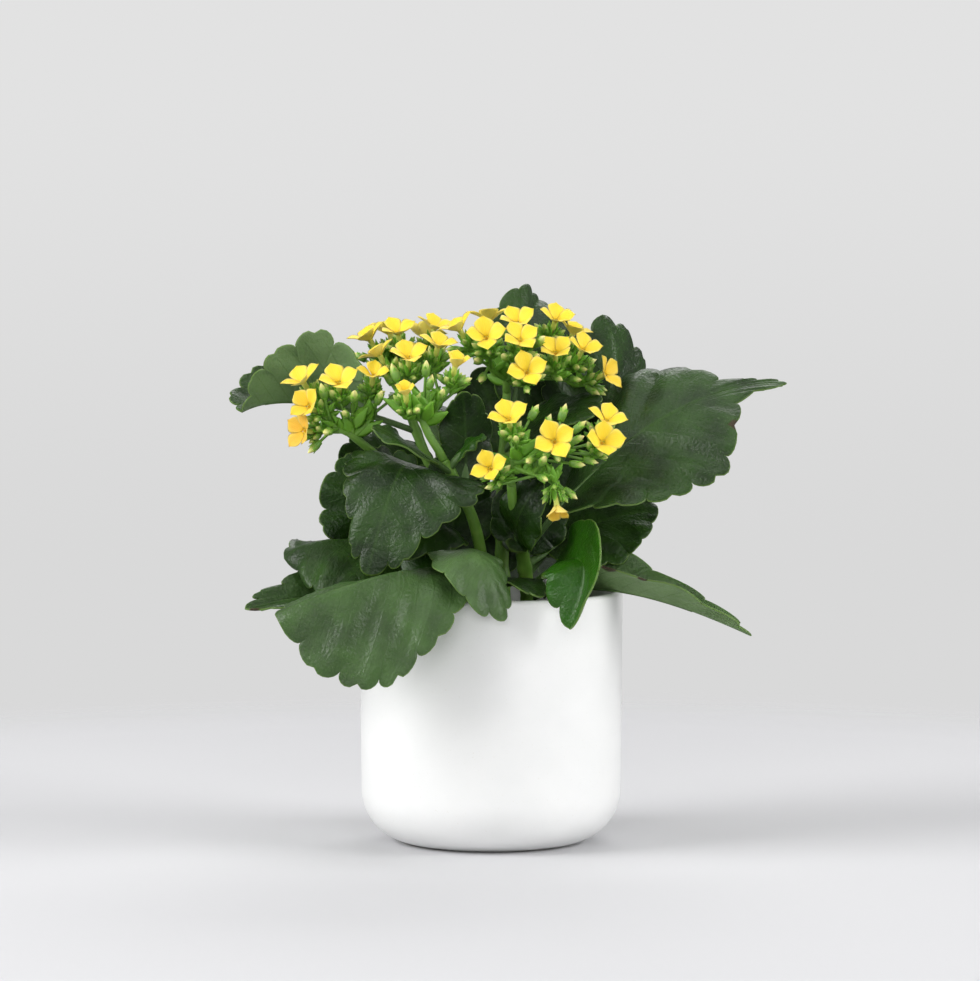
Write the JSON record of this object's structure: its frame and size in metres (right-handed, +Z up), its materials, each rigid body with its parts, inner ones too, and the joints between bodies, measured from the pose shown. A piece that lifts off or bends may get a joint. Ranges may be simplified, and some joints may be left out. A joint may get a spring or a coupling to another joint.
{
  "type": "potted kalanchoe",
  "caption": "Flowering kalanchoe houseplant with broad scalloped dark green leaves and clusters of small yellow flowers, in a plain white round ceramic pot.",
  "frame": {"origin": "middle of the pot's flat foot, on the surface that it stands on", "axes": "+Z up along the pot's axis, -Y toward the plant's front, +X toward the plant's right as seen from the front"},
  "size_m": [0.2527, 0.1792, 0.2525],
  "materials": {
    "ceramic": "satin",
    "soil": "matte",
    "leaf": "satin",
    "stalk": "satin",
    "petal": "matte"
  },
  "bodies": {
    "root": {"pot": "ceramic", "soil": "soil", "shoot_left": "leaf", "shoot_centre": "leaf", "shoot_right": "leaf", "shoot_back": "leaf", "shoot_back_left": "leaf", "head_a": "stalk", "head_b": "stalk", "head_c": "stalk", "head_d": "stalk", "head_e": "stalk", "head_f": "stalk", "bloom_a_1": "petal", "bloom_a_2": "petal", "bloom_a_3": "petal", "bloom_a_4": "petal", "bloom_a_5": "petal", "bloom_b_1": "petal", "bloom_b_2": "petal", "bloom_b_3": "petal", "bloom_b_4": "petal", "bloom_b_5": "petal", "bloom_c_1": "petal", "bloom_c_2": "petal", "bloom_c_3": "petal", "bloom_c_4": "petal", "bloom_c_5": "petal", "bloom_c_6": "petal", "bloom_c_7": "petal", "bloom_c_8": "petal", "bloom_c_9": "petal", "bloom_c_10": "petal", "bloom_c_11": "petal", "bloom_d_1": "petal", "bloom_d_2": "petal", "bloom_d_3": "petal", "bloom_d_4": "petal", "bloom_d_5": "petal", "bloom_d_6": "petal", "bloom_e_1": "petal", "bloom_e_2": "petal", "bloom_e_3": "petal", "bloom_e_4": "petal", "bloom_e_5": "petal", "bloom_f_1": "petal", "bloom_f_2": "petal", "bloom_f_3": "petal", "bloom_f_4": "petal"}
  },
  "joints": []
}
